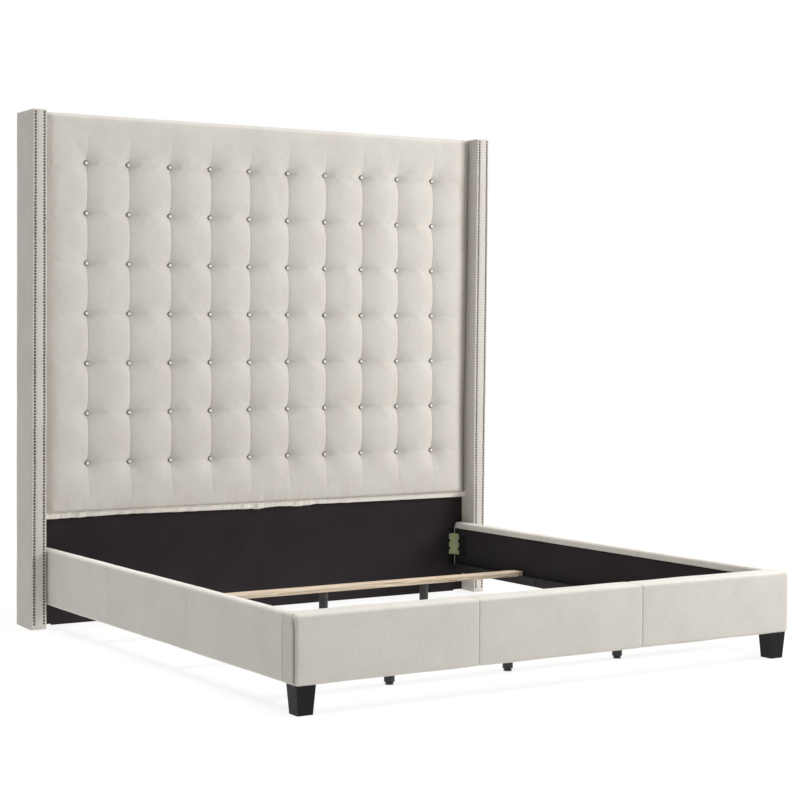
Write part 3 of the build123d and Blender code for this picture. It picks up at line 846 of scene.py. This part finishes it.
def make_pad():
    """The pad: its shaped and settled face, its turned edges and a plain back."""
    low, high, columns, rows = tuft_places()
    x_line = np.unique(np.concatenate([
        np.linspace(low.x, high.x, int((high.x - low.x) / pad_step)),
        *[c + np.array(button_lines) for c in columns],
        low.x + turn_in(side_roll[0]),
        high.x - turn_in(side_roll[1]),
    ]).round(5))
    z_line = np.unique(np.concatenate([
        np.linspace(low.z, high.z, int((high.z - low.z) / pad_step)),
        *[r + np.array(row_lines) for r in rows],
        high.z - turn_in(top_roll),
        low.z + turn_in(bottom_roll),
    ]).round(5))
    x, z = grid_points(z_line, x_line)
    to_side = high.x - np.abs(x)
    depth = pad_depth(x, z)
    front = np.stack([x, pad_back_y - depth, z], axis=1)
    uneven = ripple(front * (1, 0, 1), 0.09, 5)
    front[:, 1] += pad_unevenness * uneven * unit(depth / crown)
    crowded = np.interp(x, *hem_crowding)
    gathers = ripple(front * (1, 0, 0.1), gather_length, 6) * np.exp(-(z - low.z) / gather_rise)
    front[:, 1] -= gather_depth * crowded * gathers * unit(to_side / gather_end_run)
    light_x = settle_lines(low.x, high.x, columns)
    light_z = settle_lines(low.z, high.z, rows)
    moves = settle(light_x, light_z, held_places)
    front += resample(moves, light_z, light_x, z_line, x_line).reshape(-1, 3)
    edge_share = unit((np.abs(x) - columns[-1]) / (high.x - columns[-1])) ** 2
    sided = front * (0, 0, 1) + (0.5, 0, 0) * np.sign(x)[:, None]
    wander = side_wander * ripple(sided, 0.25, 9)
    wings = np.where(x < 0, *wing_insides(z))
    front[:, 0] += edge_share * (np.sign(x) * (wander - side_gap) + wings)
    shape = (len(z_line), len(x_line))
    rim = grid_rim(*shape)
    back = front[rim]
    on_top = z[rim] > high.z - 0.0005
    back[:, 1] = np.where(on_top, pad_back_y + pad_top_overlap, pad_back_y)
    behind = len(front) + np.arange(len(rim))
    sides = np.stack([np.roll(rim, -1), rim, behind, np.roll(behind, -1)], axis=1)
    faces = [*grid_faces(*shape), *sides, *plain_back(*shape, behind)]
    verts = np.concatenate([front, back])
    pad = padded_piece("pad", verts, faces, linen, ["headboard_pad"])
    # Painted shade along the pad's side edges and a painted shadow beside its right wing, which
    # the linen reads as its "fold" values
    edge_shade = side_edge_shade[0] * bell(to_side, side_edge_shade[1])
    shadow = side_shadow[0] * bell(to_side - side_shadow[1], side_shadow[2])
    set_values(pad, "fold", np.concatenate([edge_shade + shadow * (x > 0), np.zeros(len(rim))]))


def make_top_wrap():
    """The cloth that turns from the pad's top edge over the headboard."""
    low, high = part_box("headboard_pad")
    wrap_low = (low.x, pad_back_y - 0.002, high.z - 0.012)
    wrap_high = (high.x, high.y, high.z - 0.0014)
    verts, away, faces = rounded_shell(wrap_low, wrap_high, 0.005, 0.03)
    verts = verts + away * 0.0004 * ripple(verts, 0.12, 3)[:, None]
    verts[:, 0] += between_wings(verts[:, 0], verts[:, 2], low, high)
    padded_piece("pad_top_wrap", verts, faces, linen)


def make_buttons():
    _, _, columns, rows = tuft_places()
    sides = [(r * button_radius, h * button_rise) for r, h in button_profile]
    verts, faces = lathe([(0, 0), *sides, (0, button_rise)], 28)
    turn = np.arctan2(verts[:, 1], verts[:, 0])
    low_share = unit(1 - verts[:, 2] / (0.75 * button_rise))
    verts[:, :2] *= (1 + button_pleat_depth * low_share * np.cos(turn * button_pleats))[:, None]
    places = []
    seat_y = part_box("tuft_buttons")[1].y - button_sink
    for z in rows:
        for x in columns:
            facing = turned(math.pi / 2, "X") @ turned(rng.uniform(0, 6.28), "Z")
            seat = Matrix.Translation((x, seat_y, z))
            places.append(seat @ tilted(button_tilt) @ facing)
    buttons = mesh_piece("buttons", *copies(verts, faces, places), button_linen)
    # The "rim" values set the painted shade low on each button
    set_values(buttons, "rim", np.tile(1 - verts[:, 2] / button_rise, len(places)))
    finish_piece(buttons, ["tuft_buttons"])


def make_hem():
    """The strip of cover under the pad, ruffled by its staples and lit along its lower fold."""
    low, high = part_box("headboard_hem")
    x_line = np.linspace(low.x, high.x, int((high.x - low.x) / hem_step))
    t_line = np.linspace(0, 1, hem_rows)
    x, t = grid_points(t_line, x_line)
    crowded = np.interp(x, *hem_crowding)
    short = ripple(across_only(x + hem_slant * t), 0.024, 21)
    pucker = (short * 0.7 + ripple(across_only(x), 0.07, 22) * 0.5) * crowded
    sag = np.interp(x, *hem_sag)
    belly = np.sin(math.pi * t) ** 0.5
    fold = hem_fold[0] * bell(t - hem_fold[1], hem_fold[2])
    stand = hem_stand * (hem_base_share + (1 - hem_base_share) * belly)
    stand = stand + hem_pucker * belly * pucker + fold
    y = pad_back_y - np.where(t >= 0.999, hem_turn, stand)
    z = high.z - (high.z - low.z) * t - (sag + hem_low_waver * pucker) * t
    z = z + hem_high_waver * pucker * (1 - t)
    front = np.stack([x, y, z], axis=1)
    back = np.stack([x, np.full_like(x, high.y), z], axis=1)
    shape = (len(t_line), len(x_line))
    faces = [grid_faces(*shape, flip=True), grid_faces(*shape, len(front))]
    rim = grid_rim(*shape)
    following = np.roll(rim, -1)
    faces.append(np.stack([rim, following, following + len(front), rim + len(front)], axis=1))
    verts, faces = np.concatenate([front, back]), np.concatenate(faces)
    padded_piece("pad_hem", verts, faces, hem_lit_linen, ["headboard_hem"])


# Wings
def lean(x, y, z, low, high):
    """How far a wing's points stand to the right, from the tables of its faces and its flare."""
    first, second = lean_faces["left" if low.x < 0 else "right"]
    across = unit((x - low.x) / (high.x - low.x))
    at_low, at_high = np.interp(z, lean_heights, first), np.interp(z, lean_heights, second)
    if low.x < 0:
        to_front = unit((high.y - y) / (high.y - low.y))
        at_low = at_low + np.interp(z, lean_heights, front_flare) * to_front
    return at_low + (at_high - at_low) * across


def make_wing(name, side):
    low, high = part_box(f"wing_cover_{name}")
    insets = nail_insets[name]
    rows = (low.x + insets[0], high.x - insets[1])
    seam_y = low.y + wing_seam_back
    lines = [seam_y + d for d in (-0.003, -0.0015, 0, 0.0015, 0.003, 0.006)]
    across = [r + d for r in rows for d in (-0.002, 0, 0.003)]
    verts, away, faces = rounded_shell(low, high, wing_radius, 0.022, 3, (across, lines, ()))
    middle = (low.x + high.x) / 2
    half = (rows[1] - rows[0]) / 2
    front = unit(-away[:, 1])
    belly = unit(1 - ((verts[:, 0] - middle) / half) ** 2)
    verts[:, 1] -= wing_crown * belly * front
    outside = unit(away[:, 0] * side)
    flat = unit(np.abs(away[:, 0]))
    run = unit((verts[:, 1] - low.y) / (high.y - low.y))
    puff = wing_puff * np.sin(math.pi * run) ** 0.7
    groove = wing_seam_depth * bell(verts[:, 1] - seam_y, wing_seam_width) * outside
    verts[:, 0] += np.sign(away[:, 0]) * flat * (puff - wing_puff) - side * groove
    verts += away * (wing_unevenness * ripple(verts, 0.22, 31 + side))[:, None]
    verts[:, 0] += lean(verts[:, 0], verts[:, 1], verts[:, 2], low, high)
    verts[:, 2] -= wing_foot_drop * np.exp(-(verts[:, 2] - low.z) / wing_foot_run)
    padded_piece(f"wing_{name}", verts, faces, linen, [f"wing_cover_{name}"])


def make_nails(name):
    """Two rows of domed nailheads, each with a short skirt under its rim."""
    low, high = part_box(f"wing_cover_{name}")
    steps = np.linspace(0, math.pi / 2, 5)[:-1]
    dome = [(nail_radius * math.cos(a), nail_rise * math.sin(a)) for a in steps]
    verts, faces = lathe([(0, -nail_skirt), (nail_radius, -nail_skirt), *dome, (0, nail_rise)], 12)
    places = []
    count = int((high.z - nail_top_drop - nail_low_z) / nail_pitch)
    for edge in (low.x + nail_insets[name][0], high.x - nail_insets[name][1]):
        for n in range(count):
            x = edge + rng.normal(0, nail_scatter[0])
            z = high.z - nail_top_drop - (n + 0.5) * nail_pitch + rng.normal(0, nail_scatter[1])
            tilt = tilted(nail_tilt)
            x += float(lean(x, low.y, z, low, high))
            seat = Matrix.Translation((x, low.y + 0.0002, z))
            places.append(seat @ tilt @ turned(math.pi / 2, "X"))
    nails = mesh_piece(f"nails_{name}", *copies(verts, faces, places), nail_finish)
    # The "rim" values set the dark patina, which also paints the shade between the nails
    set_values(nails, "rim", np.tile(1 - unit(verts[:, 2] / nail_rise), len(places)))
    finish_piece(nails, [f"wing_nail_trim_{name}"])


# Rails and footboard
def seam_groove(distance):
    """How deep a sewn seam draws the cloth in, by distance from its line."""
    stitch = bell(distance, seam_width * 0.5)
    pull = bell(distance, seam_width * 4)
    return seam_depth * stitch + seam_depth * seam_pull_share * pull


def seam_lines(seams):
    """Close lines along each seam, so that its groove has points to follow."""
    spread = (-0.014, -0.006, -0.003, -0.0015, 0, 0.0015, 0.003, 0.006, 0.014)
    return [seam + d for seam in seams for d in spread]


def step_lines(place):
    """Close lines either side of a place, so that a fabric edge there stays sharp."""
    return [place + d for d in (-0.0025, -0.0006, 0.0006, 0.004, 0.009)]


def wrap_edge(verts, inward, axis, side, wrap_z):
    """Sets the inner face back below the wrapped cover's edge, and gives that edge a lip."""
    below = unit((wrap_z - verts[:, 2]) / 0.0006)
    lip = bell(verts[:, 2] - wrap_z - 0.003, 0.003)
    verts[:, axis] -= side * inward * (lining_recess * below - wrap_lip * lip)


def tighten(verts, axis, end, radius):
    """Makes the rounded edges at one end of a cover sharper, where it meets its neighbour."""
    gap = verts[:, axis] - end
    near = np.abs(gap) < radius + 0.001
    verts[near, axis] = end + gap[near] * joint_radius_share


def sewn_cover(low, high, across, side, radius, rings, lines=()):
    """A cover of three panels in a row, whose outer face looks to one side of an axis.

    Gives its points, outward directions and faces, and how far each point faces inward and
    towards the cover's ends."""
    along = 1 - across
    panel = (high[along] - low[along]) / 3
    seams = [low[along] + panel, low[along] + 2 * panel]
    extra = [lines, lines, step_lines(high.z - wrap_drop)]
    extra[along] = seam_lines(seams)
    verts, away, faces = rounded_shell(low, high, radius, cover_step, rings, extra)
    outward, inward = unit(away[:, across] * side), unit(-away[:, across] * side)
    ends = np.abs(away[:, along])
    to_seam = to_nearest(verts[:, along], np.array(seams))
    height = unit((verts[:, 2] - low.z) / (high.z - low.z))
    verts -= away * (seam_groove(to_seam) * (1 - inward) * (1 - ends))[:, None]
    swell = panel_swell * (1 - bell(to_seam, panel_swell_run)) * np.sin(math.pi * height)
    verts[:, across] += side * outward * (swell - panel_inset)
    return verts, away, faces, inward, ends


def make_rail(name, side):
    low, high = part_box(f"rail_cover_{name}")
    wrap_z = high.z - wrap_drop
    verts, away, faces, inward, _ = sewn_cover(low, high, 0, side, rail_radius, 4)
    uneven = rail_unevenness * (1 - inward) * ripple(verts * (1, 1, 2), 0.21, 41 + side)
    verts += away * uneven[:, None]
    tighten(verts, 1, low.y, rail_radius)
    wrap_edge(verts, inward > 0.9, 0, -side, wrap_z)
    padded_piece(f"rail_{name}", verts, faces, rail_lit_linen, [f"rail_cover_{name}"])
    inner = low.x if side > 0 else high.x
    for end, reach in (("head", high.y - end_edge_half), ("foot", low.y + end_edge_half)):
        box_low = (inner - end_edge_stand, reach - end_edge_half, low.z + 0.004)
        box_high = (inner + end_edge_stand, reach + end_edge_half, wrap_z + 0.002)
        verts, away, faces = rounded_shell(box_low, box_high, end_edge_radius, 0.02, 2)
        verts += away * (0.0004 * ripple(verts, 0.03, 43))[:, None]
        padded_piece(f"rail_{name}_{end}_edge", verts, faces, rail_lit_linen)


def make_footboard():
    low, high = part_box("footboard_cover")
    fold = [low.y + corner_fold_back + d for d in np.arange(-0.0032, 0.034, 0.0014)]
    verts, away, faces, inward, ends = sewn_cover(low, high, 1, -1, footboard_radius, 5, fold)
    curl = unit((verts[:, 2] - high.z + corner_curl_rise) / corner_curl_rise) ** 2
    fold_y = low.y + corner_fold_back + corner_curl * curl
    fold_line = bell(verts[:, 1] - fold_y, corner_fold_half)
    lip_rise, lip_back, lip_half = corner_lip
    lip = bell(verts[:, 1] - fold_y - lip_back, lip_half)
    verts -= away * (ends * (corner_fold_depth * fold_line - lip_rise * lip))[:, None]
    uneven = footboard_unevenness * (1 - inward) * ripple(verts * (1, 1, 2), 0.21, 51)
    verts += away * uneven[:, None]
    tighten(verts, 1, high.y, footboard_radius)
    wrap_edge(verts, inward > 0.9, 1, 1, high.z - wrap_drop)
    board = padded_piece("footboard", verts, faces, linen, ["footboard_cover"])
    # Painted shade in the folds at the footboard's corners, kept as its "fold" values
    set_values(board, "fold", corner_fold_shade * ends * fold_line ** 0.6)


# Black cloths
def make_stretched_cloth(
    name, node, axis, facing, material=black_cloth, past=(0.0, 0.0), step=0.03, pull=0.0,
):
    """A thin cloth pulled flat over a board, where its CAD panel lies.

    It turns a little past the panel's upright edges and its lower edge. With a pull it follows
    the wings' lean and dips at each of its staples."""
    low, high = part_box(node)
    low.x, high.x, low.z = low.x - past[0], high.x + past[0], low.z - past[1]
    u, v = [k for k in range(3) if k != axis]
    flat = (high[u] - low[u], high[v] - low[v])
    u_line = np.linspace(low[u], high[u], max(2, int(flat[0] / step)))
    v_line = np.linspace(low[v], high[v], max(2, int(flat[1] / step)))
    points = np.zeros((len(u_line) * len(v_line), 3))
    points[:, v], points[:, u] = grid_points(u_line, v_line)
    points[:, axis] = (high if facing > 0 else low)[axis]
    points[:, axis] -= facing * (cloth_sink - cloth_waver * ripple(points, 0.3, 61))
    if pull:
        points[:, 0] += between_wings(points[:, 0], points[:, 2], low, high)
        for n, m in ((u, v), (v, u)):
            inset = np.minimum(points[:, n] - low[n], high[n] - points[:, n]) - staple_inset
            turns = (points[:, m] - low[m] - staple_inset) / staple_gap
            wave = 0.5 + 0.5 * np.cos(2 * math.pi * turns)
            dip = pull * wave * np.exp(-np.abs(inset) / staple_pull_run)
            points[:, axis] -= facing * dip
    sheet = mesh_piece(name, points, grid_faces(len(u_line), len(v_line)), material)
    finish_piece(sheet, [node])


def staple_mesh():
    """One wire staple: its square wire swept along its path, with both points closed."""
    verts, faces = [], []
    sides, last = len(staple_wire), len(staple_path) - 1
    for n, (along, out) in enumerate(staple_path):
        if n in (0, last):
            verts += [(along + b, a, out) for a, b in staple_wire]
        else:
            verts += [(along, a, out + b) for a, b in staple_wire]
        if n:
            here, before = sides * n, sides * (n - 1)
            for k in range(sides):
                after = (k + 1) % sides
                faces.append((here + k, here + after, before + after, before + k))
    count = len(verts)
    faces += [tuple(range(sides)), tuple(range(count - 1, count - 1 - sides, -1))]
    return np.array(verts), faces


def make_staples():
    """Wire staples round the border of the dust cloth on the headboard's back."""
    low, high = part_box("headboard_back_panel")
    places = []
    seat_y = high.y - staple_sink
    lying = turned(-math.pi / 2, "X")
    for first, last, fixed_low, fixed_high, upright in (
        (low.x, high.x, low.z, high.z, False), (low.z, high.z, low.x, high.x, True),
    ):
        for n in range(int((last - first - 2 * staple_inset) / staple_gap) + 1):
            along = first + staple_inset + n * staple_gap + rng.normal(0, staple_scatter[0])
            for fixed in (fixed_low + staple_inset, fixed_high - staple_inset):
                fixed += rng.normal(0, staple_scatter[1])
                turn = turned(rng.normal(0, staple_turn) + (math.pi / 2 if upright else 0), "Z")
                x, z = (fixed, along) if upright else (along, fixed)
                x += float(between_wings(x, z, low, high))
                places.append(Matrix.Translation((x, seat_y, z)) @ lying @ turn)
    staples = mesh_piece("back_staples", *copies(*staple_mesh(), places), staple_steel)
    finish_piece(staples)


# Stage, lights and camera
def make_stage():
    """A pale floor that glows faintly, as a studio's paper does under its own lamps."""
    s = Shader("floor")
    tone = s.noise(s.place(), 0.6, 3.0)
    s.set(
        Base_Color=s.ramp(tone, [(0.3, rgb(98, 98, 97)), (0.7, rgb(104, 104, 103))]),
        Roughness=0.9, Specular_IOR_Level=0.0, Emission_Color=(1.0, 1.0, 0.99, 1.0),
        Emission_Strength=floor_glow,
    )
    s.material.cycles.emission_sampling = "NONE"
    reach = 40.0
    verts = [(-reach, -reach, 0), (reach, -reach, 0), (reach, reach, 0), (-reach, reach, 0)]
    floor = mesh_piece("floor", verts, [(0, 1, 2, 3)], s.material)


def make_lights():
    """A faint room with a white backdrop, one large soft key and a broad sun from above."""
    world = bpy.data.worlds.new("studio")
    world.use_nodes = True
    tree = world.node_tree
    room = tree.nodes["Background"]
    room.inputs["Color"].default_value = room_colour
    room.inputs["Strength"].default_value = room_light
    backdrop = tree.nodes.new("ShaderNodeBackground")
    backdrop.inputs["Color"].default_value = white
    seen = tree.nodes.new("ShaderNodeLightPath")
    choice = tree.nodes.new("ShaderNodeMixShader")
    outputs = (seen.outputs["Is Camera Ray"], room.outputs[0], backdrop.outputs[0])
    for n, output in enumerate(outputs):
        tree.links.new(output, choice.inputs[n])
    tree.links.new(choice.outputs[0], tree.nodes["World Output"].inputs[0])
    bpy.context.scene.world = world
    lamp = bpy.data.lights.new("key", "AREA")
    lamp.shape = "RECTANGLE"
    lamp.size, lamp.size_y = key_size
    lamp.energy = key_power
    lamp.color = key_colour
    key = put("key", lamp)
    key.location = key_place
    key.visible_camera = False
    key.rotation_mode = "QUATERNION"
    key.rotation_quaternion = (Vector(key_aim) - Vector(key_place)).to_track_quat("-Z", "Y")
    sun = bpy.data.lights.new("overhead", "SUN")
    sun.energy = overhead_power
    sun.angle = math.radians(overhead_spread)
    put("overhead", sun)


def make_camera():
    east, north = math.sin(camera_azimuth), math.cos(camera_azimuth)
    level = math.cos(camera_pitch)
    view_dir = Vector((east * level, north * level, -math.sin(camera_pitch)))
    right = Vector((north, -east, 0))
    up = right.cross(view_dir)
    turned_right = right * math.cos(camera_roll) + up * math.sin(camera_roll)
    turned_up = up * math.cos(camera_roll) - right * math.sin(camera_roll)
    lens = bpy.data.cameras.new("camera")
    lens.sensor_width = sensor_mm
    lens.lens = camera_focal_px * sensor_mm / image_px
    lens.clip_end = 200.0
    camera = put("camera", lens)
    rotation = Matrix((turned_right, turned_up, -view_dir)).transposed().to_4x4()
    camera.matrix_world = Matrix.Translation(camera_place) @ rotation
    bpy.context.scene.camera = camera


make_camera()
make_lights()
make_stage()
carry_materials()
make_pad()
make_top_wrap()
make_buttons()
make_hem()
for hand, side in (("left", -1), ("right", 1)):
    make_wing(hand, side)
    make_nails(hand)
    make_rail(hand, side)
    lining, core = f"rail_lining_{hand}", f"rail_core_{hand}"
    make_stretched_cloth(f"rail_cloth_{hand}", lining, 0, -side)
make_footboard()
make_stretched_cloth(
    "lower_cloth", "headboard_lower_cover", 1, -1, past=(0.0024, 0.005),
)
make_stretched_cloth("footboard_cloth", "footboard_lining", 1, 1)
make_stretched_cloth(
    "back_cloth", "headboard_back_panel", 1, 1, dust_cloth,
    past=(0.0012, 0.0), step=0.0145, pull=0.0012,
)
make_staples()
bpy.context.scene.view_settings.view_transform = "Standard"
